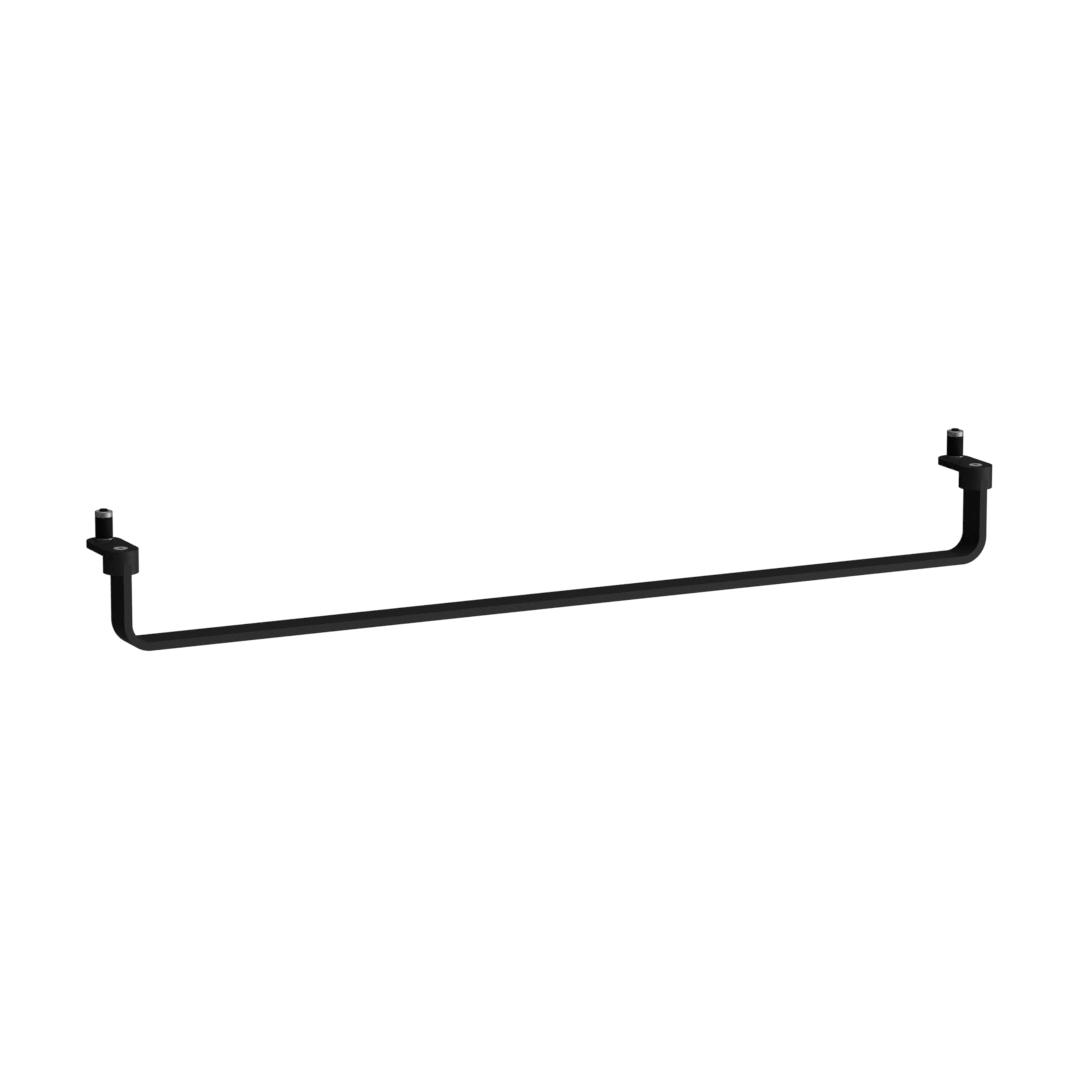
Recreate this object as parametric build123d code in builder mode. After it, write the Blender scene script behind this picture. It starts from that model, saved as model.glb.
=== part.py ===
"""Towel rail for the underside of a washbasin.

A flat bar is bent into a wide U. Each of its ends sits in a slotted boss, and an arm
is screwed on top of each boss. A rubber expansion plug at the back end of each arm
fixes the rail in a hole of the basin.

Frame: the origin lies at the level of the bar's underside, midway between the legs and
midway between the boss axes and the plug axes. +X runs along the rail to its right end,
+Y to the wall and +Z up to the basin.
"""

import os
from math import radians, tan

from build123d import *

# Rail: flat bar, bent flatwise
rail_length = 550.0          # over the outer faces of the legs
mount_height = 57.5          # underside of the bar to the top of the arms
bar_depth = 20.0
bar_thickness = 5.0
bend_inner_radius = 11.0
bar_chamfer = 0.4            # long edges

# Bosses: turned, with a slot across the underside for the end of the bar
boss_diameter = 20.0
boss_height = 9.6
boss_chamfer = 0.4           # lower edge
slot_depth = 6.0
slot_clearance = 0.05        # on each face of the bar

# Arms: flat plates with round ends
arm_width = 20.0
arm_thickness = 4.0
arm_reach = 24.5             # boss axis to plug axis
arm_chamfer = 0.3            # top edge

# Countersunk socket screws
countersink_angle = 90.0
hole_clearance = 0.25        # radial, round a plain shank
thread_clearance = 0.03      # radial, between a thread and its hole

# Arm screw, from the top of the arm into the boss
screw_diameter = 4.0
screw_head_diameter = 7.8
screw_head_land = 0.15
screw_tip_gap = 0.3          # screw tip to the end of the bar
screw_socket = 2.5           # across flats
screw_socket_depth = 1.5

# Plug bolt, from the underside of the arm up through the plug
bolt_diameter = 5.0
bolt_head_diameter = 9.4
bolt_head_land = 0.25
bolt_tip_stand = 1.1         # tip above the nut
bolt_socket = 3.0            # across flats
bolt_socket_depth = 1.9

# Expansion plug: washer, rubber sleeve and round nut, stacked on the arm
washer_diameter = 10.4
washer_thickness = 1.5
sleeve_diameter = 10.0
sleeve_length = 12.0
sleeve_chamfer = 0.4         # lower rim
sleeve_clearance = 0.1       # radial, round the bolt
nut_diameter = 10.0
nut_height = 3.0
nut_chamfer = 0.3            # upper rim

# Heights and places that follow from the sizes above
sink_slope = tan(radians(countersink_angle / 2))
arm_bottom = mount_height - arm_thickness
boss_bottom = arm_bottom - boss_height
bar_end = boss_bottom + slot_depth
bar_middle = bar_thickness / 2
leg_middle = (rail_length - bar_thickness) / 2
bend_radius = bend_inner_radius + bar_thickness / 2
boss_y = -arm_reach / 2
plug_y = arm_reach / 2
sleeve_bottom = mount_height + washer_thickness
nut_bottom = sleeve_bottom + sleeve_length
bolt_tip = nut_bottom + nut_height + bolt_tip_stand

os.makedirs("parts", exist_ok=True)


def write(piece, name):
    """Label a finished piece and write it to its own file."""
    piece.part.label = name
    export_step(piece.part, f"parts/{name}.step")


def countersunk_profile(head_diameter, land, diameter, length):
    """Half section of a countersunk screw, head at the local origin, shank along -Y."""
    head = head_diameter / 2
    shank = diameter / 2
    cone = land + (head - shank) / sink_slope
    Polyline(
        (0, 0),
        (head, 0),
        (head, -land),
        (shank, -cone),
        (shank, -length),
        (0, -length),
        close=True,
    )


# Rail: the bar's section swept along its bent centre line
with BuildPart() as rail:
    with BuildLine(Plane.XZ.offset(-boss_y)) as centre_line:
        FilletPolyline(
            (-leg_middle, bar_end),
            (-leg_middle, bar_middle),
            (leg_middle, bar_middle),
            (leg_middle, bar_end),
            radius=bend_radius,
        )
    with BuildSketch(Plane((-leg_middle, boss_y, bar_end))) as section:
        Rectangle(bar_thickness, bar_depth)
        chamfer(section.vertices(), bar_chamfer)
    sweep(path=centre_line.wire())
write(rail, "rail")

for side, leg_x in (("left", -leg_middle), ("right", leg_middle)):
    boss_axis = Axis((leg_x, boss_y, 0), (0, 0, 1))
    plug_axis = Axis((leg_x, plug_y, 0), (0, 0, 1))

    # Boss: slotted from below, threaded from above
    with BuildPart() as boss:
        with BuildSketch(Plane((leg_x, boss_y, boss_bottom))):
            Circle(boss_diameter / 2)
        extrude(amount=boss_height)
        chamfer(boss.edges().sort_by(Axis.Z)[0], boss_chamfer)
        with BuildSketch(Plane((leg_x, boss_y, boss_bottom))):
            Rectangle(bar_thickness + 2 * slot_clearance, 2 * boss_diameter)
        extrude(amount=slot_depth, mode=Mode.SUBTRACT)
        with Locations((leg_x, boss_y, arm_bottom)):
            Hole(screw_diameter / 2 + thread_clearance, boss_height)
    write(boss, f"{side}_boss")

    # Arm: countersunk on top for its screw and underneath for the plug bolt
    with BuildPart() as arm:
        with BuildSketch(Plane((leg_x, 0, arm_bottom))):
            SlotCenterToCenter(arm_reach, arm_width, rotation=90)
        extrude(amount=arm_thickness)
        chamfer(arm.faces().sort_by(Axis.Z)[-1].edges(), arm_chamfer)
        with Locations((leg_x, boss_y, mount_height)):
            CounterSinkHole(
                screw_diameter / 2 + hole_clearance,
                screw_head_diameter / 2 + screw_head_land * sink_slope,
                counter_sink_angle=countersink_angle,
            )
        with Locations(Plane((leg_x, plug_y, arm_bottom), z_dir=(0, 0, -1))):
            CounterSinkHole(
                bolt_diameter / 2 + hole_clearance,
                bolt_head_diameter / 2 + bolt_head_land * sink_slope,
                counter_sink_angle=countersink_angle,
            )
    write(arm, f"{side}_arm")

    # Arm screw: flush with the top of the arm
    with BuildPart() as arm_screw:
        with BuildSketch(Plane((leg_x, boss_y, mount_height), x_dir=(1, 0, 0), z_dir=(0, -1, 0))):
            with BuildLine():
                countersunk_profile(
                    screw_head_diameter,
                    screw_head_land,
                    screw_diameter,
                    mount_height - bar_end - screw_tip_gap,
                )
            make_face()
        revolve(axis=boss_axis)
        with BuildSketch(Plane((leg_x, boss_y, mount_height))):
            RegularPolygon(screw_socket / 2, 6, major_radius=False)
        extrude(amount=-screw_socket_depth, mode=Mode.SUBTRACT)
    write(arm_screw, f"{side}_arm_screw")

    # Plug bolt: flush with the underside of the arm
    with BuildPart() as plug_bolt:
        with BuildSketch(Plane((leg_x, plug_y, arm_bottom), x_dir=(1, 0, 0), z_dir=(0, 1, 0))):
            with BuildLine():
                countersunk_profile(
                    bolt_head_diameter,
                    bolt_head_land,
                    bolt_diameter,
                    bolt_tip - arm_bottom,
                )
            make_face()
        revolve(axis=plug_axis)
        with BuildSketch(Plane((leg_x, plug_y, arm_bottom))):
            RegularPolygon(bolt_socket / 2, 6, major_radius=False)
        extrude(amount=bolt_socket_depth, mode=Mode.SUBTRACT)
    write(plug_bolt, f"{side}_plug_bolt")

    # Washer: spreads the load of the sleeve on the arm
    with BuildPart() as plug_washer:
        with BuildSketch(Plane((leg_x, plug_y, mount_height))):
            Circle(washer_diameter / 2)
            Circle(bolt_diameter / 2 + hole_clearance, mode=Mode.SUBTRACT)
        extrude(amount=washer_thickness)
    write(plug_washer, f"{side}_plug_washer")

    # Sleeve: rubber, swells in its hole when the nut is drawn down
    with BuildPart() as plug_sleeve:
        with BuildSketch(Plane((leg_x, plug_y, sleeve_bottom))):
            Circle(sleeve_diameter / 2)
            Circle(bolt_diameter / 2 + sleeve_clearance, mode=Mode.SUBTRACT)
        extrude(amount=sleeve_length)
        rims = plug_sleeve.edges().filter_by(GeomType.CIRCLE).group_by(SortBy.RADIUS)[-1]
        chamfer(rims.sort_by(Axis.Z)[0], sleeve_chamfer)
    write(plug_sleeve, f"{side}_plug_sleeve")

    # Nut: round, drawn down on the sleeve by the bolt
    with BuildPart() as plug_nut:
        with BuildSketch(Plane((leg_x, plug_y, nut_bottom))):
            Circle(nut_diameter / 2)
            Circle(bolt_diameter / 2 + thread_clearance, mode=Mode.SUBTRACT)
        extrude(amount=nut_height)
        rims = plug_nut.edges().filter_by(GeomType.CIRCLE).group_by(SortBy.RADIUS)[-1]
        chamfer(rims.sort_by(Axis.Z)[-1], nut_chamfer)
    write(plug_nut, f"{side}_plug_nut")
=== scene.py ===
"""Black towel rail for the underside of a washbasin, dressed for its picture.

The bent bar, its bosses and arms, the screws and the expansion plugs are modelled here
with eased edges and a cut thread, each in the place of its plain solid. Lengths are in
metres, in the frame of the solids: +X to the right end, +Y to the wall, +Z up.
"""

import math
from collections import namedtuple

import bmesh
import bpy
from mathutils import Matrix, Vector


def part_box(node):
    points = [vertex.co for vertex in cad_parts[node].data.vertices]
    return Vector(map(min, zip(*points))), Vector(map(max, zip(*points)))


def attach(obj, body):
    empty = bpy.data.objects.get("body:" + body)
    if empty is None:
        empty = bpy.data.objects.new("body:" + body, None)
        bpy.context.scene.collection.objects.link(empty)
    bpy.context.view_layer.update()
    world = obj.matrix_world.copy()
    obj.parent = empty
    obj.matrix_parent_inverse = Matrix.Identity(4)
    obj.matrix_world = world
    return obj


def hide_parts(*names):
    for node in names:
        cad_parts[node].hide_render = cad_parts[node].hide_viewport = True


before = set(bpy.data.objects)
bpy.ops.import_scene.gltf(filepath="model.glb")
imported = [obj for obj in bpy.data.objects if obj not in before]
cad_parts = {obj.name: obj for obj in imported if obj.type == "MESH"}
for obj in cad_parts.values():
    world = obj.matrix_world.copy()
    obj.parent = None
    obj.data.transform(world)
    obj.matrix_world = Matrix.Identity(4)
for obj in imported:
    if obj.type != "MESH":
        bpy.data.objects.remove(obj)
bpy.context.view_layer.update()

MM = 0.001
QUARTER_TURN = math.pi / 2
FULL_TURN = 2 * math.pi

# Bar
BAR_THICKNESS = 5 * MM
BEND_MIDDLE_RADIUS = 13.5 * MM
BEND_STEPS = 28
BAR_EDGE_RADIUS = 0.2 * MM

# Bosses and arms
SLOT_WIDTH = 5.1 * MM
SLOT_DEPTH = 6 * MM
BOSS_EDGE = 0.2 * MM
ARM_EDGE = 0.2 * MM
SEAM_EDGE = 0.1 * MM             # fine line where the arm meets the boss
SINK_EDGE = 0.12 * MM

# Screws and bolts
SHANK_GAP = 0.25 * MM            # round the shank in its hole
THREAD_GAP = 0.03 * MM           # round a thread in its hole
HEAD_EDGE = 0.12 * MM
SCREW_LAND = 0.15 * MM           # straight rim of the countersunk head
SCREW_SHANK = 2 * MM
SCREW_TIP_EDGE = 0.4 * MM
SCREW_SOCKET = 2.5 * MM          # across flats
SCREW_SOCKET_DEPTH = 1.5 * MM
BOLT_LAND = 0.25 * MM
BOLT_CORE = 2.05 * MM
BOLT_SHANK = 2.3 * MM
BOLT_CREST = 2.5 * MM
BOLT_PITCH = 0.8 * MM
BOLT_TURNS = 9
BOLT_TIP_EDGE = 0.22 * MM
BOLT_SOCKET = 3 * MM             # across flats
BOLT_SOCKET_DEPTH = 1.9 * MM
FLANK_RISE = 0.38                # of the pitch, each flank of the thread
CREST_RISE = 0.12                # of the pitch, the crest and the root
THREAD_STEPS = 72                # round one turn
THREAD_OVERLAP = 0.3 * MM        # of the shank with the thread
DRILL_POINT_DEPTH = 0.35         # of the corner radius of a socket
DRILL_POINT_TIP = 0.1            # of the corner radius of a socket

# Plugs: bores, and the edges of each ring at the top, at the bottom and in the bore
WASHER_BORE = 2.75 * MM
WASHER_EDGES = (0.1 * MM, 0.1 * MM, 0.15 * MM)
SLEEVE_BORE = 2.6 * MM
SLEEVE_EDGES = (0.25 * MM, 0.7 * MM, 0.2 * MM)
NUT_BORE = 2.53 * MM
NUT_EDGES = (0.4 * MM, 0.15 * MM, 0.4 * MM)

# Round shapes and cutters
RING_POINTS = 128                # round bosses, arm ends and plugs
BORE_POINTS = 96                 # round screws, bolts, holes and countersinks
CUTTER_REACH = 1 * MM            # past the face that is cut
SMOOTH_ANGLE = math.radians(40)  # edges flatter than this are shaded smoothly

# Slack when edges are picked by their place and doubles are merged
RIM_SLACK = 0.02 * MM
LEVEL_SLACK = 0.005 * MM
SOCKET_SLACK = 0.05 * MM
SAME_POINT = 0.0005 * MM
SAME_THREAD_POINT = 0.001 * MM

Upright = namedtuple("Upright", "x y radius bottom top")


def place_of(node):
    """Axis, radius, lowest and highest level of an upright round solid."""
    low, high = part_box(node)
    axis = (low + high) / 2
    return Upright(axis.x, axis.y, (high.x - low.x) / 2, low.z, high.z)


BAR_LOW, BAR_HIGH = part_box("rail")
LEG_X, BOSS_Y, BOSS_RADIUS, BOSS_BOTTOM, BOSS_TOP = place_of("left_boss")
PLUG_Y = place_of("left_plug_nut").y
ARM_LOW, ARM_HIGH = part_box("left_arm")
SIDE_STEP = place_of("right_boss").x - LEG_X


# Modelling helpers

def deselect():
    """Go to object mode with nothing selected."""
    if bpy.context.mode != "OBJECT":
        bpy.ops.object.mode_set(mode="OBJECT")
    bpy.ops.object.select_all(action="DESELECT")


def select_only(piece):
    """Go to object mode with one piece selected and active."""
    deselect()
    bpy.context.view_layer.objects.active = piece
    piece.select_set(True)


def settle():
    """Put the place, turn and size of the active object in its mesh, and return it."""
    bpy.ops.object.transform_apply(location=True, rotation=True, scale=True)
    return bpy.context.active_object


def begin(name):
    """Name the primitive just added, put its place in its mesh and open it for editing."""
    piece = settle()
    piece.name = name
    piece.data.name = name
    bpy.ops.object.mode_set(mode="EDIT")
    bpy.ops.mesh.select_all(action="SELECT")
    return piece


def pick(piece, kind, test):
    """Select the vertices, edges or faces of the edited piece that pass the test."""
    modes = {"verts": "VERT", "edges": "EDGE", "faces": "FACE"}
    bpy.ops.mesh.select_mode(type=modes[kind])
    bpy.ops.mesh.select_all(action="DESELECT")
    mesh = bmesh.from_edit_mesh(piece.data)
    for part in getattr(mesh, kind):
        if test(part):
            part.select_set(True)
    bmesh.update_edit_mesh(piece.data)


def pick_all_faces():
    """Select every face of the edited piece."""
    bpy.ops.mesh.select_mode(type="FACE")
    bpy.ops.mesh.select_all(action="SELECT")


def extrude(x=0.0, z=0.0):
    """Extrude the selected faces along a straight line."""
    bpy.ops.mesh.extrude_region_move(TRANSFORM_OT_translate={"value": (x, 0, z)})


def scale_round(axis_x, axis_y, factor):
    """Scale the selection in plan about an upright axis."""
    bpy.ops.transform.resize(value=(factor, factor, 1), center_override=(axis_x, axis_y, 0))


def bevel(width, steps):
    """Round the selected edges."""
    bpy.ops.mesh.bevel(offset=width, segments=steps, profile=0.5, affect="EDGES")


def ease_rim(piece, axis_x, axis_y, radius, level, width, steps=4):
    """Round the edge that runs round an upright axis at a level."""

    def on_rim(edge):
        return all(
            abs(point.co.z - level) < RIM_SLACK
            and abs(math.hypot(point.co.x - axis_x, point.co.y - axis_y) - radius) < RIM_SLACK
            for point in edge.verts
        )

    pick(piece, "edges", on_rim)
    bevel(width, steps)


def turn_outwards():
    """Point all faces of the edited piece outwards."""
    bpy.ops.mesh.select_all(action="SELECT")
    bpy.ops.mesh.normals_make_consistent(inside=False)


def combine(piece, other, operation):
    """Boolean of two closed shapes, applied; the second one is removed."""
    select_only(piece)
    boolean = piece.modifiers.new("shape", "BOOLEAN")
    boolean.operation = operation
    boolean.solver = "EXACT"
    boolean.object = other
    bpy.ops.object.modifier_apply(modifier=boolean.name)
    bpy.data.objects.remove(other)


def cut(piece, cutter):
    """Take the cutter's shape out of a piece, and remove the cutter."""
    combine(piece, cutter, "DIFFERENCE")


def reopen(piece):
    """Open a piece for editing again, all of it selected."""
    select_only(piece)
    bpy.ops.object.mode_set(mode="EDIT")
    bpy.ops.mesh.select_all(action="SELECT")


def close_up(piece):
    """Merge doubles, turn the faces outwards and shade the eased edges smoothly."""
    reopen(piece)
    bpy.ops.mesh.remove_doubles(threshold=SAME_POINT)
    turn_outwards()
    bpy.ops.object.mode_set(mode="OBJECT")
    bpy.ops.object.shade_smooth_by_angle(angle=SMOOTH_ANGLE)
    weighted = piece.modifiers.new("flat faces stay flat", "WEIGHTED_NORMAL")
    weighted.keep_sharp = True
    bpy.ops.object.modifier_apply(modifier=weighted.name)
    deselect()


# Pieces

def make_bar():
    """Flat bar with eased long edges, bent from one leg through the towel bar to the other."""
    straight_leg = BAR_HIGH.z - BAR_THICKNESS / 2 - BEND_MIDDLE_RADIUS
    straight_bar = SIDE_STEP - 2 * BEND_MIDDLE_RADIUS
    bend_level = BAR_HIGH.z - straight_leg
    left_bend_x = LEG_X + BEND_MIDDLE_RADIUS
    right_bend_x = LEG_X + SIDE_STEP - BEND_MIDDLE_RADIUS
    bend = dict(steps=BEND_STEPS, axis=(0, 1, 0), angle=QUARTER_TURN)
    deselect()
    bpy.ops.mesh.primitive_plane_add(size=1, location=(LEG_X, BOSS_Y, BAR_HIGH.z))
    bpy.context.active_object.scale = (BAR_THICKNESS, BAR_HIGH.y - BAR_LOW.y, 1)
    bar = begin("bent_bar")
    bpy.ops.mesh.bevel(offset=BAR_EDGE_RADIUS, segments=5, affect="VERTICES")
    pick(bar, "faces", lambda face: face.normal.z > 0.9 and len(face.verts) > 4)
    extrude(z=-straight_leg)
    bpy.ops.mesh.spin(center=(left_bend_x, BOSS_Y, bend_level), **bend)
    extrude(x=straight_bar)
    bpy.ops.mesh.spin(center=(right_bend_x, BOSS_Y, bend_level), **bend)
    extrude(z=straight_leg)
    close_up(bar)
    return bar


def slot_cutter():
    """Block that cuts the cross slot of a boss."""
    deselect()
    bpy.ops.mesh.primitive_cube_add(size=1, location=(LEG_X, BOSS_Y, BOSS_BOTTOM))
    bpy.context.active_object.scale = (SLOT_WIDTH, 4 * BOSS_RADIUS, 2 * SLOT_DEPTH)
    return settle()


def drill(axis_x, axis_y, radius, bottom, top):
    """Upright round cutter."""
    deselect()
    bpy.ops.mesh.primitive_cylinder_add(
        vertices=BORE_POINTS,
        radius=radius,
        depth=top - bottom,
        location=(axis_x, axis_y, (top + bottom) / 2),
    )
    return settle()


def sink_cutter(axis_x, axis_y, rim_radius, rim_level, upwards):
    """Cone of 90 degrees that opens to the rim of a countersink and a little beyond it."""
    depth = rim_radius + CUTTER_REACH
    middle = rim_level + upwards * (CUTTER_REACH - depth / 2)
    deselect()
    bpy.ops.mesh.primitive_cone_add(
        vertices=BORE_POINTS,
        radius1=depth if upwards < 0 else 0,
        radius2=0 if upwards < 0 else depth,
        depth=depth,
        location=(axis_x, axis_y, middle),
    )
    return settle()


def make_boss():
    """Turned boss with a slot from below for the bar and a hole from above for the screw."""
    hole_bottom = BOSS_BOTTOM + SLOT_DEPTH / 2
    hole_top = BOSS_TOP + CUTTER_REACH
    deselect()
    bpy.ops.mesh.primitive_cylinder_add(
        vertices=RING_POINTS,
        radius=BOSS_RADIUS,
        depth=BOSS_TOP - BOSS_BOTTOM,
        location=(LEG_X, BOSS_Y, (BOSS_TOP + BOSS_BOTTOM) / 2),
    )
    boss = begin("left_slotted_boss")
    ease_rim(boss, LEG_X, BOSS_Y, BOSS_RADIUS, BOSS_BOTTOM, BOSS_EDGE, steps=5)
    ease_rim(boss, LEG_X, BOSS_Y, BOSS_RADIUS, BOSS_TOP, SEAM_EDGE, steps=2)
    cut(boss, slot_cutter())
    cut(boss, drill(LEG_X, BOSS_Y, SCREW_SHANK + THREAD_GAP, hole_bottom, hole_top))
    close_up(boss)
    return boss


def make_arm():
    """Flat arm with round ends, sunk on top for its screw and underneath for the plug bolt."""
    half_step = math.pi / RING_POINTS
    screw_sink = place_of("left_arm_screw").radius + SCREW_LAND
    bolt_sink = place_of("left_plug_bolt").radius + BOLT_LAND
    through = (ARM_LOW.z - CUTTER_REACH, ARM_HIGH.z + CUTTER_REACH)
    deselect()
    bpy.ops.mesh.primitive_circle_add(
        vertices=RING_POINTS,
        radius=BOSS_RADIUS / math.cos(half_step),
        fill_type="NGON",
        location=(LEG_X, BOSS_Y, ARM_LOW.z),
        rotation=(0, 0, half_step),
    )
    arm = begin("left_offset_arm")
    pick(arm, "verts", lambda point: point.co.y > BOSS_Y)
    bpy.ops.transform.translate(value=(0, PLUG_Y - BOSS_Y, 0))
    pick_all_faces()
    extrude(z=ARM_HIGH.z - ARM_LOW.z)
    for level, width, steps in ((ARM_HIGH.z, ARM_EDGE, 5), (ARM_LOW.z, SEAM_EDGE, 2)):
        pick(arm, "edges", lambda edge: all(abs(p.co.z - level) < LEVEL_SLACK for p in edge.verts))
        bevel(width, steps)
    cut(arm, sink_cutter(LEG_X, BOSS_Y, screw_sink, ARM_HIGH.z, 1))
    cut(arm, drill(LEG_X, BOSS_Y, SCREW_SHANK + SHANK_GAP, *through))
    cut(arm, sink_cutter(LEG_X, PLUG_Y, bolt_sink, ARM_LOW.z, -1))
    cut(arm, drill(LEG_X, PLUG_Y, BOLT_CREST + SHANK_GAP, *through))
    reopen(arm)
    ease_rim(arm, LEG_X, BOSS_Y, screw_sink, ARM_HIGH.z, SINK_EDGE, steps=3)
    ease_rim(arm, LEG_X, PLUG_Y, bolt_sink, ARM_LOW.z, SINK_EDGE, steps=3)
    close_up(arm)
    return arm


def lathe(name, axis_x, axis_y, stations, points=BORE_POINTS):
    """Solid of revolution: a disc extruded from station to station, each (level, radius)."""
    first_level, first_radius = stations[0]
    deselect()
    bpy.ops.mesh.primitive_circle_add(
        vertices=points,
        radius=first_radius,
        fill_type="NGON",
        location=(axis_x, axis_y, first_level),
    )
    piece = begin(name)
    bpy.ops.mesh.select_mode(type="FACE")
    for (level, radius), (next_level, next_radius) in zip(stations, stations[1:]):
        extrude(z=next_level - level)
        scale_round(axis_x, axis_y, next_radius / radius)
    return piece


def hex_cutter(axis_x, axis_y, across_flats, mouth, depth):
    """Hexagon cutter with a drill point, for a socket that opens at the mouth's level."""
    corner = across_flats / math.sqrt(3)
    point_depth = math.copysign(DRILL_POINT_DEPTH * corner, depth)
    stations = (
        (mouth - math.copysign(CUTTER_REACH, depth), corner),
        (mouth + depth, corner),
        (mouth + depth + point_depth, DRILL_POINT_TIP * corner),
    )
    cutter = lathe("hex_key", axis_x, axis_y, stations, points=6)
    turn_outwards()
    deselect()
    return cutter


def ease_socket(piece, axis_x, axis_y, across_flats, level):
    """Break the edge of a hexagon socket's mouth."""
    reach = across_flats / math.sqrt(3) + SOCKET_SLACK

    def on_mouth(edge):
        return all(
            abs(point.co.z - level) < LEVEL_SLACK
            and math.hypot(point.co.x - axis_x, point.co.y - axis_y) < reach
            for point in edge.verts
        )

    reopen(piece)
    pick(piece, "edges", on_mouth)
    bevel(HEAD_EDGE, 2)


def make_arm_screw():
    """Countersunk socket screw that holds the arm on its boss."""
    axis_x, axis_y, head, tip, top = place_of("left_arm_screw")
    stations = (
        (top, head),
        (top - SCREW_LAND, head),
        (top - SCREW_LAND - head + SCREW_SHANK, SCREW_SHANK),
        (tip + SCREW_TIP_EDGE, SCREW_SHANK),
        (tip, SCREW_SHANK - SCREW_TIP_EDGE),
    )
    screw = lathe("left_socket_screw", axis_x, axis_y, stations)
    ease_rim(screw, axis_x, axis_y, head, top, HEAD_EDGE, steps=3)
    turn_outwards()
    cut(screw, hex_cutter(axis_x, axis_y, SCREW_SOCKET, top, -SCREW_SOCKET_DEPTH))
    ease_socket(screw, axis_x, axis_y, SCREW_SOCKET, top)
    close_up(screw)
    return screw


def make_thread(axis_x, axis_y, bottom):
    """Closed length of thread: a tooth profile turned once round the axis and up one pitch."""
    depth = BOLT_CREST - BOLT_CORE
    tooth = ((depth, FLANK_RISE), (0, CREST_RISE), (-depth, FLANK_RISE), (0, CREST_RISE))
    plain = tuple((0, up) for out, up in tooth)
    deselect()
    bpy.ops.mesh.primitive_plane_add(size=MM)
    thread = begin("thread")
    bpy.ops.mesh.select_mode(type="VERT")
    bpy.ops.mesh.merge(type="CENTER")
    bpy.ops.mesh.select_all(action="SELECT")
    bpy.ops.transform.translate(value=(BOLT_CORE, 0, 0))
    for out, up in plain + tooth * BOLT_TURNS + plain:
        step = (out, 0, up * BOLT_PITCH)
        bpy.ops.mesh.extrude_vertices_move(TRANSFORM_OT_translate={"value": step})
    bpy.ops.object.mode_set(mode="OBJECT")
    turn = thread.modifiers.new("turn", "SCREW")
    turn.angle = FULL_TURN
    turn.screw_offset = BOLT_PITCH
    turn.steps = turn.render_steps = THREAD_STEPS
    bpy.ops.object.modifier_apply(modifier=turn.name)
    thread.location = (axis_x, axis_y, bottom)
    settle()
    reopen(thread)
    bpy.ops.mesh.remove_doubles(threshold=SAME_THREAD_POINT)
    bpy.ops.mesh.fill_holes(sides=8)
    bpy.ops.mesh.fill_holes(sides=0)
    turn_outwards()
    deselect()
    return thread


def thread_envelope(axis_x, axis_y, bottom, tip):
    """Wide block with a chamfered tip, which trims the thread at both ends."""
    ledge_rise, crest_gap = 0.001 * MM, 0.02 * MM
    ledge = tip - BOLT_TIP_EDGE
    stations = (
        (bottom, 2 * BOLT_CREST),
        (ledge, 2 * BOLT_CREST),
        (ledge + ledge_rise, BOLT_CREST + crest_gap),
        (tip, BOLT_CREST - BOLT_TIP_EDGE),
    )
    envelope = lathe("envelope", axis_x, axis_y, stations)
    turn_outwards()
    return envelope


def make_plug_bolt():
    """Countersunk bolt from the underside of the arm up through the plug, threaded at its tip."""
    axis_x, axis_y, head, bottom, tip = place_of("left_plug_bolt")
    thread_start = tip - (BOLT_TURNS - 1) * BOLT_PITCH
    thread = make_thread(axis_x, axis_y, thread_start - BOLT_PITCH)
    combine(thread, thread_envelope(axis_x, axis_y, thread_start, tip), "INTERSECT")
    stations = (
        (bottom, head),
        (bottom + BOLT_LAND, head),
        (bottom + BOLT_LAND + head - BOLT_SHANK, BOLT_SHANK),
        (thread_start + THREAD_OVERLAP, BOLT_SHANK),
    )
    bolt = lathe("left_expander_bolt", axis_x, axis_y, stations)
    ease_rim(bolt, axis_x, axis_y, head, bottom, HEAD_EDGE, steps=3)
    turn_outwards()
    cut(bolt, hex_cutter(axis_x, axis_y, BOLT_SOCKET, bottom, BOLT_SOCKET_DEPTH))
    ease_socket(bolt, axis_x, axis_y, BOLT_SOCKET, bottom)
    combine(bolt, thread, "UNION")
    close_up(bolt)
    return bolt


def make_ring(name, node, bore, edges):
    """Upright ring in the place of a solid, with its rims eased."""
    axis_x, axis_y, radius, bottom, top = place_of(node)
    top_edge, bottom_edge, bore_edge = edges
    deselect()
    bpy.ops.mesh.primitive_circle_add(
        vertices=RING_POINTS,
        radius=radius,
        fill_type="NOTHING",
        location=(axis_x, axis_y, bottom),
    )
    ring = begin(name)
    bpy.ops.mesh.select_mode(type="EDGE")
    bpy.ops.mesh.extrude_edges_move()
    scale_round(axis_x, axis_y, bore / radius)
    pick_all_faces()
    extrude(z=top - bottom)
    ease_rim(ring, axis_x, axis_y, radius, top, top_edge)
    ease_rim(ring, axis_x, axis_y, radius, bottom, bottom_edge)
    ease_rim(ring, axis_x, axis_y, bore, top, bore_edge, steps=2)
    ease_rim(ring, axis_x, axis_y, bore, bottom, bore_edge, steps=2)
    close_up(ring)
    return ring


# Finishes

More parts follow.
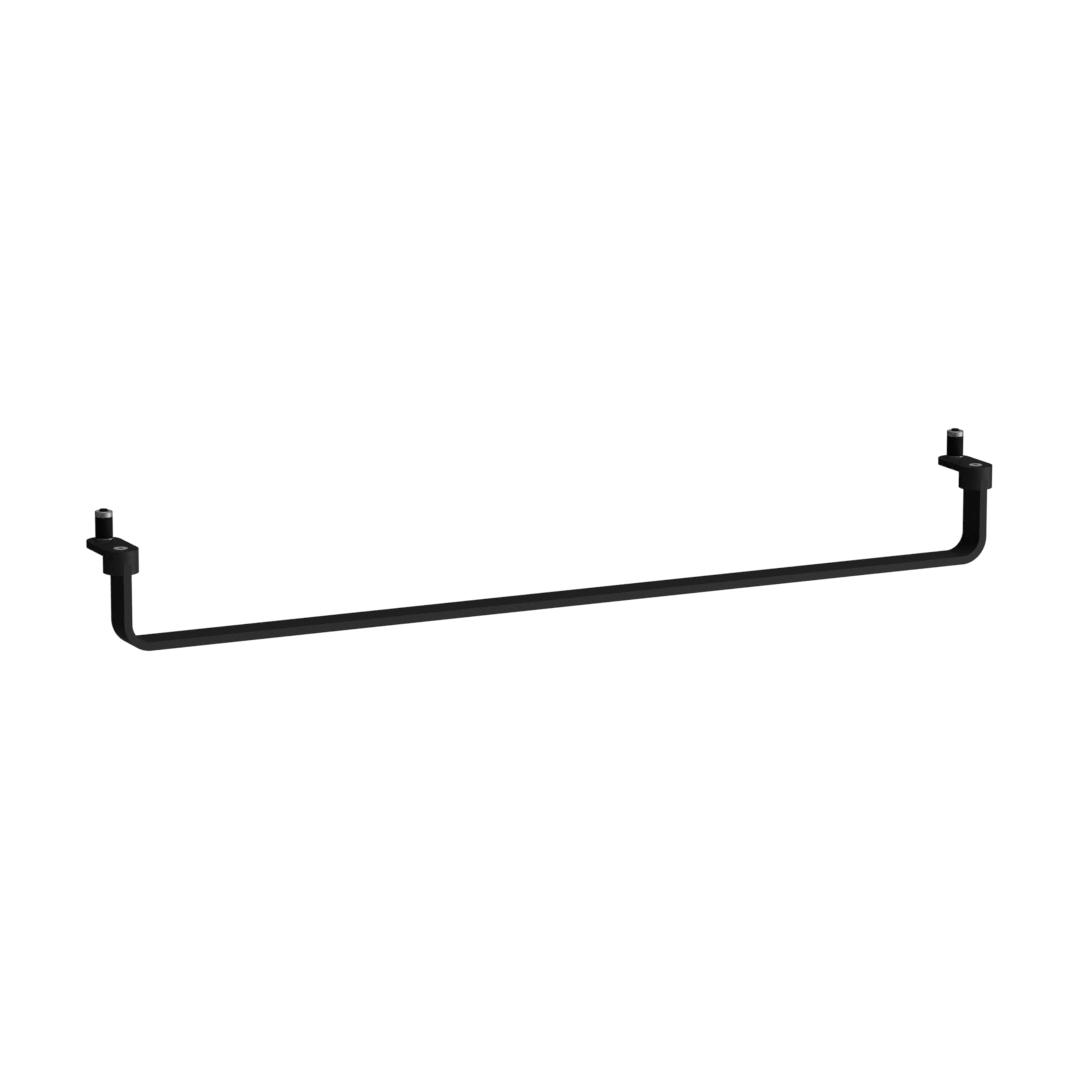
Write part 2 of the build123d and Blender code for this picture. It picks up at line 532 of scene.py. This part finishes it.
class Field:
    """A node socket that takes part in Python expressions."""

    def __init__(self, tree, socket=None):
        self.tree = tree
        self.socket = socket

    def node(self, kind, settings=None, inputs=None, output=0):
        """Add a node: its settings first, then the values or links of its sockets."""
        made = self.tree.nodes.new(kind)
        for name, value in (settings or {}).items():
            setattr(made, name, value)
        for name, value in (inputs or {}).items():
            if isinstance(value, Field):
                self.tree.links.new(value.socket, made.inputs[name])
            else:
                made.inputs[name].default_value = value
        return Field(self.tree, made.outputs[output]) if made.outputs else None

    def math(self, operation, *values):
        return self.node("ShaderNodeMath", {"operation": operation}, dict(enumerate(values)))

    def __add__(self, other):
        return self.math("ADD", self, other)

    def __radd__(self, other):
        return self.math("ADD", other, self)

    def __sub__(self, other):
        return self.math("SUBTRACT", self, other)

    def __rsub__(self, other):
        return self.math("SUBTRACT", other, self)

    def __mul__(self, other):
        return self.math("MULTIPLY", self, other)

    def __rmul__(self, other):
        return self.math("MULTIPLY", other, self)

    def __pow__(self, other):
        return self.math("POWER", self, other)

    def __abs__(self):
        return self.math("ABSOLUTE", self)


def open_material(name):
    """New material with an empty node tree, and a field to build it with."""
    material = bpy.data.materials.new(name)
    material.use_nodes = True
    material.node_tree.nodes.clear()
    return material, Field(material.node_tree)


def object_place(field):
    """Object coordinates of the surface."""
    return field.node("ShaderNodeTexCoord", output="Object")


def noise(field, place, scale, detail):
    """Three-dimensional noise, from 0 to 1, with so many grains to a metre."""
    inputs = {"Vector": place, "Scale": scale, "Detail": detail}
    return field.node("ShaderNodeTexNoise", inputs=inputs)


def blend(field, mask, first, second):
    """Colour between two by a mask; each is a plain colour or a field."""
    first, second = (end if isinstance(end, Field) else (*end, 1) for end in (first, second))
    inputs = {"Factor": mask, 6: first, 7: second}
    return field.node("ShaderNodeMix", {"data_type": "RGBA"}, inputs, output=2)


def smooth_step(field, value, low, high):
    """Mask that rises from 0 to 1 between two values."""
    inputs = {"Value": value, "From Min": low, "From Max": high}
    return field.node("ShaderNodeMapRange", {"interpolation_type": "SMOOTHSTEP"}, inputs)


def relief(field, height, depth, strength):
    """Bump of a depth in metres."""
    inputs = {"Height": height, "Distance": depth, "Strength": strength}
    return field.node("ShaderNodeBump", inputs=inputs)


def surface(field, inputs):
    """Principled surface on the material's output."""
    shader = field.node("ShaderNodeBsdfPrincipled", inputs=inputs)
    field.node("ShaderNodeOutputMaterial", inputs={"Surface": shader})


def black_powder_coat():
    """Matt black powder coat: fine sand grain over a soft orange peel."""
    deep, pale = (0.006, 0.006, 0.0061), (0.0095, 0.0095, 0.0096)
    material, field = open_material("black_powder_coat")
    place = object_place(field)
    grain = noise(field, place, 2600, detail=3)
    peel = noise(field, place, 520, detail=1)
    drift = noise(field, place, 35, detail=2)
    height = 0.65 * grain + 0.35 * peel
    surface(field, {
        "Base Color": blend(field, 0.6 * grain + 0.4 * drift, deep, pale),
        "Roughness": 0.36 + 0.12 * grain + 0.06 * drift,
        "Specular IOR Level": 0.8,
        "Normal": relief(field, height, depth=0.08 * MM, strength=1.0),
    })
    return material


def turned_steel(name, axis_y, face_level, side_haze, face_haze, polish):
    """Turned steel, at both ends of the rail: satin top face, lines round the axis, painted shade
    in the socket.
    """
    dull, clear = (0.66, 0.66, 0.665), (0.82, 0.82, 0.825)
    # Painted shade: the hex socket and a thin ring round its mouth are coloured dark for the shade
    # in the recess.
    socket_painted_shade = (0.16, 0.16, 0.165)
    painted_shade_full, painted_shade_end = 1.35 * MM, 1.6 * MM
    satin_start, satin_full = face_level - 0.06 * MM, face_level - 0.012 * MM
    material, field = open_material(name)
    place = object_place(field)
    x, y, z = (
        field.node("ShaderNodeSeparateXYZ", inputs={"Vector": place}, output=axis) for axis in "XYZ"
    )
    radius = ((abs(x) - abs(LEG_X)) ** 2 + (y - axis_y) ** 2) ** 0.5
    along = field.node("ShaderNodeCombineXYZ", inputs={"X": radius + z})
    lines = noise(field, along, 9000, detail=2)
    stain = noise(field, place, 700, detail=2)
    satin = smooth_step(field, z, satin_start, satin_full)
    bright = blend(field, 0.5 * lines + 0.5 * stain, dull, clear)
    # Mask of the painted socket shade: 0 in the socket, 1 on the open face beyond it.
    outside_painted_shade = smooth_step(field, radius, painted_shade_full, painted_shade_end)
    surface(field, {
        "Base Color": blend(field, outside_painted_shade, socket_painted_shade, bright),
        "Metallic": 1.0 - side_haze - (face_haze - side_haze) * satin,
        "Roughness": polish + 0.08 * lines + 0.05 * stain + 0.14 * satin,
        "Normal": relief(field, lines, depth=0.008 * MM, strength=0.3),
    })
    return material


def black_oxide():
    """Blackened steel with a thin film of oil."""
    deep, pale = (0.005, 0.005, 0.0053), (0.011, 0.011, 0.0115)
    material, field = open_material("black_oxide")
    place = object_place(field)
    cloud = noise(field, place, 900, detail=3)
    fine = noise(field, place, 6000, detail=2)
    surface(field, {
        "Base Color": blend(field, cloud, deep, pale),
        "Metallic": 0.6,
        "Roughness": 0.3 + 0.18 * cloud,
        "Normal": relief(field, fine, depth=0.006 * MM, strength=0.3),
    })
    return material


def moulded_rubber():
    """Black rubber, smooth from its mould, with a faint bloom."""
    deep, pale = (0.002, 0.002, 0.002), (0.0038, 0.0038, 0.0038)
    material, field = open_material("moulded_rubber")
    place = object_place(field)
    bloom = noise(field, place, 260, detail=3)
    skin = noise(field, place, 3800, detail=2)
    surface(field, {
        "Base Color": blend(field, bloom, deep, pale),
        "Roughness": 0.42 + 0.14 * bloom,
        "Specular IOR Level": 0.22,
        "Normal": relief(field, skin, depth=0.012 * MM, strength=0.3),
    })
    return material


# Building the object

def show(piece, node, material):
    """Give a piece its finish and let it stand for its solid."""
    piece.data.materials.clear()
    piece.data.materials.append(material)
    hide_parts(node)
    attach(piece, "root")


def copy_to_right(piece):
    """Copy of a left piece, with its own mesh, in its place at the right end."""
    select_only(piece)
    bpy.ops.object.duplicate(linked=False)
    twin = bpy.context.active_object
    twin.name = piece.name.replace("left_", "right_")
    twin.data.name = twin.name
    twin.location = (SIDE_STEP, 0, 0)
    bpy.ops.object.transform_apply(location=True, rotation=False, scale=False)
    deselect()
    return twin


coat = black_powder_coat()
screw_top = place_of("left_arm_screw").top
washer_top = place_of("left_plug_washer").top
nut_top = place_of("left_plug_nut").top
screw_steel = turned_steel(
    "screw_steel", BOSS_Y, screw_top, side_haze=0.1, face_haze=0.38, polish=0.14
)
washer_steel = turned_steel(
    "washer_steel", PLUG_Y, washer_top, side_haze=0.0, face_haze=0.03, polish=0.06
)
nut_steel = turned_steel(
    "nut_steel", PLUG_Y, nut_top, side_haze=0.09, face_haze=0.25, polish=0.2
)
oxide = black_oxide()
rubber = moulded_rubber()

boss = make_boss()
arm = make_arm()
arm_screw = make_arm_screw()
plug_bolt = make_plug_bolt()
plug_washer = make_ring("left_plug_disc", "left_plug_washer", WASHER_BORE, WASHER_EDGES)
plug_sleeve = make_ring("left_rubber_plug", "left_plug_sleeve", SLEEVE_BORE, SLEEVE_EDGES)
plug_nut = make_ring("left_round_nut", "left_plug_nut", NUT_BORE, NUT_EDGES)

pairs = (
    (boss, "boss", "black_coat", coat),
    (arm, "arm", "black_coat", coat),
    (arm_screw, "arm_screw", "bright_steel", screw_steel),
    (plug_bolt, "plug_bolt", "black_steel", oxide),
    (plug_washer, "plug_washer", "bright_steel", washer_steel),
    (plug_sleeve, "plug_sleeve", "rubber", rubber),
    (plug_nut, "plug_nut", "bright_steel", nut_steel),
)
for piece, node, slot, material in pairs:
    twin = copy_to_right(piece)
    show(piece, f"left_{node}", material)
    show(twin, f"right_{node}", material)
show(make_bar(), "rail", coat)


# Studio

FLOOR_LEVEL = -0.8
FLOOR_SIZE = 60.0
FLOOR_GREY = 0.82
FLOOR_WHITE_SHARE = 0.7          # of the floor's own white, as the camera sees it
FLOOR_WHITE_STRENGTH = 1.14
DIM_LIGHT = 0.008                # of the world, from all round
LAMP_TARGET = Vector((0, 0, 0.04))
CAMERA_SENSOR = 36
CAMERA_LENS = 185.5
CAMERA_REACH = 200
CAMERA_PLACE = (-1.38063, -2.81237, 0.69426)
CAMERA_TILT = math.radians(78.1105)
CAMERA_TURN = math.radians(-25.9962)


def make_floor():
    """Pale floor well below the rail: white to the camera but for shadow, clear from beneath."""
    deselect()
    bpy.ops.mesh.primitive_plane_add(size=FLOOR_SIZE, location=(0, 0, FLOOR_LEVEL))
    floor = bpy.context.active_object
    floor.name = "studio_floor"
    material, field = open_material("pale_floor")
    seen = field.node("ShaderNodeLightPath", output="Is Camera Ray")
    below = field.node("ShaderNodeNewGeometry", output="Backfacing")
    grey = (FLOOR_GREY, FLOOR_GREY, FLOOR_GREY, 1)
    pale = field.node("ShaderNodeBsdfDiffuse", inputs={"Color": grey})
    glowing = {"Color": (1, 1, 1, 1), "Strength": FLOOR_WHITE_STRENGTH}
    white = field.node("ShaderNodeEmission", inputs=glowing)
    clear = field.node("ShaderNodeBsdfTransparent")
    top = field.node("ShaderNodeMixShader", inputs={0: FLOOR_WHITE_SHARE * seen, 1: pale, 2: white})
    both = field.node("ShaderNodeMixShader", inputs={0: below, 1: top, 2: clear})
    field.node("ShaderNodeOutputMaterial", inputs={"Surface": both})
    floor.data.materials.append(material)
    floor.visible_glossy = False


def toward(azimuth, elevation):
    """Unit vector from the rail. Azimuth 0 is to the front and 90 to the right, in degrees."""
    turn, rise = math.radians(azimuth), math.radians(elevation)
    level = math.cos(rise)
    return Vector((math.sin(turn) * level, -math.cos(turn) * level, math.sin(rise)))


def facing(field, heading, azimuth, elevation):
    """Cosine of the angle between a heading and a place of the studio."""
    inputs = {0: heading, 1: toward(azimuth, elevation)}
    return field.node("ShaderNodeVectorMath", {"operation": "DOT_PRODUCT"}, inputs, "Value")


def glow(field, heading, azimuth, elevation, power):
    """Soft round patch of white, from 1 at its middle to 0."""
    return (0.5 + 0.5 * facing(field, heading, azimuth, elevation)) ** power


def make_world():
    """White to the camera. Gloss shows a bright wall at the front right, ceiling and floor."""
    world = bpy.data.worlds.new("studio")
    bpy.context.scene.world = world
    world.use_nodes = True
    world.node_tree.nodes.clear()
    world.cycles.sampling_method = "NONE"
    field = Field(world.node_tree)
    camera, gloss, glass = (
        field.node("ShaderNodeLightPath", output=f"Is {ray} Ray")
        for ray in ("Camera", "Glossy", "Transmission")
    )
    heading = field.node("ShaderNodeTexCoord", output="Generated")
    wall = 0.12 + 0.88 * glow(field, heading, azimuth=55, elevation=-5, power=13.0)
    left_edge = smooth_step(field, facing(field, heading, azimuth=70, elevation=0), 0.0, 0.15)
    right_edge = smooth_step(field, facing(field, heading, azimuth=20, elevation=0), 0.0, 0.6)
    ceiling = 0.9 * glow(field, heading, azimuth=0, elevation=70, power=16.0)
    floor = 0.12 * glow(field, heading, azimuth=0, elevation=-90, power=10.0)
    back = 0.4 * glow(field, heading, azimuth=135, elevation=-25, power=20.0)
    left = 0.03 * glow(field, heading, azimuth=-90, elevation=-10, power=6.0)
    horizon = 0.008 * glow(field, heading, azimuth=158, elevation=12, power=8.0)
    low_side = smooth_step(field, facing(field, heading, azimuth=0, elevation=-90), -0.06, 0.14)
    white = wall * left_edge * right_edge * low_side + ceiling + floor + back + left + horizon
    strength = DIM_LIGHT + (1 - DIM_LIGHT) * (camera + (gloss + glass) * white)
    sky = field.node("ShaderNodeBackground", inputs={"Color": (1, 1, 1, 1), "Strength": strength})
    field.node("ShaderNodeOutputWorld", inputs={"Surface": sky})


def hang(name, lamp, azimuth, elevation):
    """Put a lamp in the scene, turned to the rail and left out of reflections."""
    holder = bpy.data.objects.new(name, lamp)
    bpy.context.scene.collection.objects.link(holder)
    holder.rotation_euler = (-toward(azimuth, elevation)).to_track_quat("-Z", "Y").to_euler()
    holder.visible_glossy = False
    return holder


def softbox(name, azimuth, elevation, distance, width, height, radiance):
    """Large soft lamp facing the rail."""
    lamp = bpy.data.lights.new(name, "AREA")
    lamp.shape = "RECTANGLE"
    lamp.size, lamp.size_y = width, height
    lamp.energy = radiance * math.pi * width * height
    holder = hang(name, lamp, azimuth, elevation)
    holder.location = LAMP_TARGET + toward(azimuth, elevation) * distance
    holder.visible_camera = False


def sun(name, azimuth, elevation, strength, spread):
    """Broad even light from one direction."""
    lamp = bpy.data.lights.new(name, "SUN")
    lamp.energy = strength
    lamp.angle = math.radians(spread)
    hang(name, lamp, azimuth, elevation)


def make_camera():
    """Long lens from the front left, a little above the rail."""
    data = bpy.data.cameras.new("photo_view")
    data.sensor_width = CAMERA_SENSOR
    data.lens = CAMERA_LENS
    data.clip_end = CAMERA_REACH
    camera = bpy.data.objects.new("photo_view", data)
    bpy.context.scene.collection.objects.link(camera)
    camera.location = CAMERA_PLACE
    camera.rotation_euler = (CAMERA_TILT, 0, CAMERA_TURN)
    bpy.context.scene.camera = camera


make_floor()
make_world()
softbox("key", azimuth=48, elevation=2, distance=2.0, width=2.8, height=1.7, radiance=1.0)
sun("overhead", azimuth=30, elevation=55, strength=3.6, spread=50)
make_camera()
bpy.context.scene.view_settings.view_transform = "Standard"
